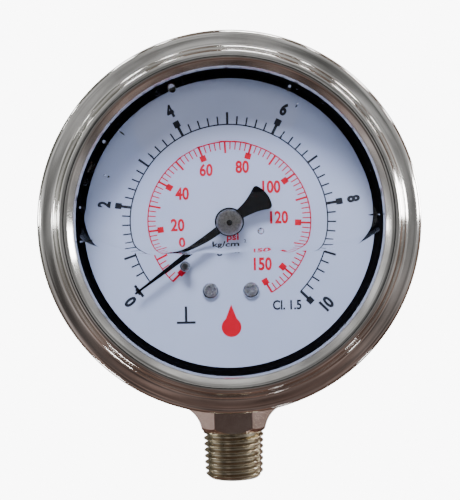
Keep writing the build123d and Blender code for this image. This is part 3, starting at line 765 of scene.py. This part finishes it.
def make_numbers():
    """Numbers of both scales; the outer ones turn with the scale, the inner ones stand upright."""
    shape = bmesh.new()
    radius = 26.9
    # number, clock angle of its middle and how far it is turned
    numbers = [(value, black_clock(value), 180 - black_clock(value)) for value in (2, 4, 6, 8)]
    numbers.insert(0, (0, ZERO_CLOCK - 1.5, 181.5 - ZERO_CLOCK))
    numbers.append((10, FULL_CLOCK - 4.2, 360 - FULL_CLOCK))
    for value, clock, turn in numbers:
        place = (-radius * sin(radians(clock)), -radius * cos(radians(clock)))
        place_letters(shape, str(value), place, turn, 2.85, 0.80, 0.050, 0.95)
    finish_print("black_numbers", shape, BLACK_INK)

    shape = bmesh.new()
    places = {
        "0": (-10.2, -4.9), "20": (-11.0, -0.8), "40": (-9.9, 6.1), "60": (-4.7, 11.2), "80": (3.0, 11.7),
        "100": (9.1, 7.2), "120": (10.6, 0.5), "150": (6.9, -8.9),
    }
    for text, place in places.items():
        place_letters(shape, text, place, 0, 2.8, 0.78, 0.034, 1.02)
    finish_print("red_numbers", shape, RED_INK)


def drop_outline(place, radius):
    """Points of a plain drop, pointed at the top."""
    return arc_points(place, radius, 125, 415, 40) + [(place[0], place[1] + radius * 2.3)]


def make_unit_marks():
    """The units, the accuracy class, the sign for upright mounting and a plain drop for the liquid fill."""
    shape = bmesh.new()
    place_letters(shape, "kg/cm", (-0.9, -5.85), 0, 2.4, 0.98, 0.03, 1.05)
    place_letters(shape, "2", (3.2, -4.7), 0, 0.9, 0.9, 0.02)
    place_letters(shape, "Cl. 1.5", (11.9, -17.7), 0, 2.1, 0.85, 0.030)
    base = [(-11.6, -21.3), (-7.6, -21.3), (-7.6, -20.8), (-11.6, -20.8)]
    upright = [(-9.86, -20.9), (-9.34, -20.9), (-9.34, -17.6), (-9.86, -17.6)]
    for outline in (base, upright):
        prism(shape, [(across * MM, up * MM) for across, up in outline], PRINT_BACK, PRINT_FRONT)
    finish_print("unit_marks", shape, BLACK_INK)
    shape = bmesh.new()
    place_letters(shape, "psi", (0.7, -3.9), 0, 2.1, 1.05, 0.03)
    finish_print("psi_mark", shape, RED_INK)
    shape = bmesh.new()
    prism(shape, drop_outline((0, -22.2 * MM), 2.1 * MM), PRINT_BACK, PRINT_FRONT)
    finish_print("drop_mark", shape, RED_INK)


make_black_scale()
make_red_scale()
make_numbers()
make_unit_marks()

# ---------------------------------------------------------------- liquid, bubbles and drops
SKIRT_RADIUS = 30.8 * MM
WINDOW_GAP = 0.02 * MM
LIQUID_DEPTH = WINDOW_BACK - DIAL_FRONT - WINDOW_GAP
HOLLOW_SHARE = 0.20  # share of the depth that the hollow at the window takes
HOLLOW_REACH = 0.8  # millimetres in which the hollow dies out
FILM = 0.7 * MM
DRY_DIP = 1.1 * MM  # how much lower the film is in the dry patch
SUNK = 0.25 * MM  # how far the surface goes behind the dial's front where the dial is dry


def soft_step(low, high, value):
    """Goes smoothly from 0 to 1 between low and high."""
    share = min(max((value - low) / (high - low), 0), 1)
    return share * share * (3 - 2 * share)


def water_line(across):
    """Height of the liquid's line on the window, for a place in millimetres; it climbs at the skirt."""
    return (-6.3 + 3.9 * abs(across / 31.0) ** 6 + 0.14 * sin(across * 0.9)) * MM


def dial_line(across):
    """Height at which the wedge of liquid runs out on the dial, for a place in millimetres."""
    return (17.6 + 0.10 * across - 0.010 * (across - 2) ** 2) * MM


def dry_patch(across, up):
    """1 in the dry patch near the dial's crown, 0 where the dial is wet; the place is in millimetres."""
    left = ((across + 12.5) / 7.6) ** 2 + ((up - 20.5) / 6.4) ** 2
    right = ((across - 5.5) / 9.6) ** 2 + ((up - 23.0) / 5.6) ** 2
    middle = ((across + 3.0) / 12.0) ** 2 + ((up - 24.0) / 6.2) ** 2
    return soft_step(1.10, 0.97, min(left, right, middle))


def liquid_thickness(across, up):
    """How far the liquid stands in front of the dial: full, then a hollow slope, a wedge and a film."""
    height = (up - water_line(across / MM)) / MM
    if height <= 0:
        return LIQUID_DEPTH
    run = (dial_line(across / MM) - water_line(across / MM)) / MM
    hollow = HOLLOW_SHARE * exp(-height / HOLLOW_REACH)
    wedge = (hollow + (1 - HOLLOW_SHARE) * (1 - height / run)) * LIQUID_DEPTH
    film = FILM - DRY_DIP * dry_patch(across / MM, up / MM)
    softness, trim = 0.25 * MM, 0.05 * MM
    larger = (wedge + film + sqrt((wedge - film) ** 2 + softness ** 2)) / 2
    return max(larger - trim, -SUNK)


def make_liquid():
    """The damping liquid: full below its line, a wedge against the dial above it."""
    shape = bmesh.new()
    reach = 31.6 * MM
    behind = DIAL_FRONT - 0.4 * MM
    columns, rows_below, rows_above = 200, 8, 130
    rows = []
    for column in range(columns + 1):
        across = -reach + 2 * reach * column / columns
        contact = water_line(across / MM)
        heights = [contact + (-reach - contact) * (1 - step / rows_below) for step in range(rows_below + 1)]
        heights += [contact + (reach - contact) * (step / rows_above) ** 1.35
                    for step in range(1, rows_above + 1)]
        places = [dial_point(across, up, DIAL_FRONT + liquid_thickness(across, up)) for up in heights]
        places += [dial_point(across, reach, behind), dial_point(across, -reach, behind)]
        rows.append([shape.verts.new(place) for place in places])
    for one, two in zip(rows, rows[1:]):
        bridge(shape, one, two)
    shape.faces.new(rows[0])
    shape.faces.new(rows[-1][::-1])
    liquid = finish_mesh("damping_liquid", shape, LIQUID)
    radius = SKIRT_RADIUS + 0.1 * MM
    back, front = DIAL_FRONT - 0.3 * MM, WINDOW_BACK + 1 * MM
    bore_profile = [(0, back), (radius, back), (radius + 0.5 * MM, front), (0, front)]
    bore = lathe("liquid_bore", bore_profile, LIQUID, segments=256, smooth_angle=35, closed=False)
    cut = liquid.modifiers.new("cut", "BOOLEAN")
    cut.operation = "INTERSECT"
    cut.solver = "EXACT"
    cut.object = bore
    bpy.context.view_layer.update()
    cut_liquid = liquid.evaluated_get(bpy.context.evaluated_depsgraph_get())
    result = bpy.data.meshes.new_from_object(cut_liquid)
    liquid.modifiers.clear()
    liquid.data = result
    bpy.data.objects.remove(bore)
    result.shade_smooth()
    result.set_sharp_from_angle(angle=radians(60))
    settle(liquid, "glycerine", "glycerine_fill")


def make_bubbles():
    """Small air bubbles in the liquid."""
    shape = bmesh.new()
    places = ((6.6, -2.0, 0.75), (-9.2, -7.4, 0.22), (13.5, -9.0, 0.18))  # across, up and radius in mm
    for across, up, radius in places:
        place = Matrix.Translation(dial_point(across * MM, up * MM, DIAL_FRONT + 4.5 * MM))
        bmesh.ops.create_icosphere(shape, subdivisions=4, radius=radius * MM, matrix=place)
    settle(finish_mesh("bubbles", shape, BUBBLE, 180), "glycerine")


def make_wet_drops():
    """Drops and runs of liquid that cling to the gasket's skirt and the window above the liquid."""
    shape = bmesh.new()
    # clock angle, nearest and farthest radius and half width in millimetres
    runs = [(84, 28.4, 31.8, 0.22), (107, 30.4, 31.9, 0.85), (113, 29.9, 32.0, 1.1), (124, 29.7, 31.3, 0.40),
            (131, 28.2, 30.0, 0.2), (152, 30.0, 32.2, 0.55), (158, 29.2, 31.2, 0.85), (163, 30.2, 32.2, 0.35),
            (205, 29.6, 31.2, 0.35), (208, 30.8, 31.9, 0.4), (219, 31.2, 32.3, 0.8), (251, 31.0, 32.2, 0.30),
            (268, 28.8, 31.8, 0.22), (211, 27.4, 28.6, 0.2), (112, 26.5, 27.9, 0.3), (97, 29.8, 31.6, 0.3)]
    for clock, near, far, half in runs:
        turned = Matrix.Rotation(radians(clock), 4, "Y")
        middle = spot((near + far) / 2 * MM, clock, WINDOW_BACK - WINDOW_GAP)
        size = Matrix.Diagonal((half * MM, 0.6 * MM, (far - near) / 2 * MM, 1))
        place = Matrix.Translation(middle) @ turned @ size
        bmesh.ops.create_icosphere(shape, subdivisions=3, radius=1.0, matrix=place)
    settle(finish_mesh("wet_drops", shape, LIQUID, 180), "glycerine")


make_liquid()
make_bubbles()
make_wet_drops()

# ---------------------------------------------------------------- camera, floor and light
EYE = Vector((-0.001, -0.262, CENTRE_Z + 0.0005))
AIM = Vector((0.0, -0.016, CENTRE_Z - 0.0057))
ROLL = -1.2  # degrees
CARD_DISTANCE = 0.7


def make_camera():
    """A close view along the dial's axis, tilted a little, as if held in the hand."""
    data = bpy.data.cameras.new("camera")
    data.lens = 85
    data.sensor_width = 36
    data.clip_start = 0.01
    camera = bpy.data.objects.new("camera", data)
    bpy.context.scene.collection.objects.link(camera)
    look = (AIM - EYE).to_track_quat("-Z", "Y").to_matrix().to_4x4()
    camera.matrix_world = Matrix.Translation(EYE) @ look @ Matrix.Rotation(radians(ROLL), 4, "Z")
    bpy.context.scene.camera = camera


def glow_material(name, brightness, strength):
    """A plain glowing surface for the stage."""
    look = new_look(name)
    glow = look.add("ShaderNodeEmission")
    glow.inputs["Color"].default_value = (brightness, brightness, brightness, 1)
    glow.inputs["Strength"].default_value = strength
    look.link(glow.outputs[0], look.output.inputs["Surface"])
    return look.owner


def stage_panel(name, corners, brightness, strength, hidden_from):
    """A flat glowing panel that these kinds of ray do not see."""
    mesh = bpy.data.meshes.new(name)
    mesh.from_pydata(corners, [], [(0, 1, 2, 3)])
    panel = new_object(name, mesh, glow_material(name, brightness, strength))
    for ray in hidden_from:
        setattr(panel, "visible_" + ray, False)


def card(name, target, clock, polar, size, strength):
    """A glowing card that faces the gauge, at a clock angle and an angle from the dial's axis."""
    out, turn = radians(polar), radians(clock)
    away = Vector((-sin(turn) * sin(out), -cos(out), -cos(turn) * sin(out)))
    side = Vector((-cos(turn), 0, sin(turn)))
    centre = Vector(target) + away * CARD_DISTANCE
    half_side, half_along = side * (size[0] / 2), away.cross(side) * (size[1] / 2)
    corners = [centre - half_side - half_along, centre + half_side - half_along,
               centre + half_side + half_along, centre - half_side + half_along]
    stage_panel(name, corners, 1.0, strength, ("camera", "transmission"))


def area_light(name, centre, target, size, power):
    """A soft light that leaves no spot of its own in metal or glass."""
    data = bpy.data.lights.new(name, "AREA")
    data.shape = "RECTANGLE"
    data.size, data.size_y = size
    data.energy = power
    light = bpy.data.objects.new(name, data)
    light.visible_glossy = False
    light.visible_transmission = False
    bpy.context.scene.collection.objects.link(light)
    aim = (Vector(target) - Vector(centre)).to_track_quat("-Z", "Y").to_matrix().to_4x4()
    light.matrix_world = Matrix.Translation(Vector(centre)) @ aim


def make_world():
    """A plain room: dark straight in front, pale at the sides, olive and brown behind, brown below."""
    world = bpy.data.worlds.new("studio")
    bpy.context.scene.world = world
    look = Nodes(world, "ShaderNodeOutputWorld")
    background = look.add("ShaderNodeBackground")
    direction = look.add("ShaderNodeTexCoord").outputs["Generated"]
    across, depth, height = [look.math("MULTIPLY", look.math("ADD", part, 1.0), 0.5)
                             for part in look.split(direction)]
    olive, deep_brown, brown = (0.135, 0.135, 0.118), (0.11, 0.075, 0.058), (0.14, 0.10, 0.08)
    rear = look.ramp(across, [(0.20, olive), (0.5, deep_brown), (1.0, brown)])
    front = look.ramp(depth, [(0.0048, 0.004), (0.0085, 0.24), (0.014, 0.24), (0.03, 0.15), (0.14, 0.15),
                              (0.30, 0.27), (0.45, 0.40), (0.53, 0.48), (0.58, 0.38)])
    behind = look.ramp(depth, [(0.54, 0.0), (0.62, 1.0)])
    below = look.ramp(height, [(0.16, 1.0), (0.46, 0.0)])
    room = look.mix(behind, front, rear)
    room = look.mix(look.math("MULTIPLY", below, 0.85), room, (0.088, 0.048, 0.037))
    patches = look.noise(direction, 2.4, detail=4.0, roughness=0.55)
    patchy = look.ramp(patches, [(0.32, 0.30), (0.45, 0.75), (0.55, 1.15), (0.64, 1.9)])
    look.link(look.mix(1.0, room, patchy, "MULTIPLY"), background.inputs["Color"])
    background.inputs["Strength"].default_value = 1.6
    look.link(background.outputs[0], look.output.inputs["Surface"])


def make_stage():
    """Pale floor, pale backdrop, plain soft light and soft cards round the dial's axis."""
    reach, level, behind = 6.0, -0.25, 0.9
    corners = ((-reach, -reach), (reach, -reach), (reach, reach), (-reach, reach))
    floor = [(across, along, level) for across, along in corners]
    backdrop = [(across, behind, up) for across, up in corners]
    stage_panel("floor", floor, 0.93, 4.0, ("diffuse", "transmission", "glossy"))
    stage_panel("backdrop", backdrop, 1.0, 9.0, ("diffuse", "transmission", "glossy"))
    target = (0, 0, CENTRE_Z)
    area_light("key", (-0.10, -0.55, 0.62), target, (0.30, 0.24), 12.0)
    area_light("fill", (0.02, -0.62, 0.12), target, (0.34, 0.30), 3.6)
    # clock angle, angle from the axis, width round it, length along it, strength
    cards = [
        (94, 114, 0.08, 0.08, 34), (127, 113, 0.03, 0.06, 24), (148, 114, 0.08, 0.06, 32),
        (161, 113, 0.05, 0.05, 28), (188, 114, 0.19, 0.06, 32), (207, 112, 0.03, 0.07, 24),
        (223, 114, 0.10, 0.06, 34), (237, 112, 0.05, 0.05, 24), (264, 84, 0.14, 0.28, 22),
        (262, 126, 0.14, 0.32, 24), (40, 114, 0.12, 0.05, 26), (92, 88, 0.05, 0.16, 12),
        (316, 112, 0.05, 0.05, 14), (345, 108, 0.05, 0.04, 8), (122, 106, 0.03, 0.03, 16),
    ]
    for number, (clock, polar, width, length, strength) in enumerate(cards):
        card(f"card_{number}", target, clock, polar, (width, length), strength)


make_world()
make_camera()
make_stage()
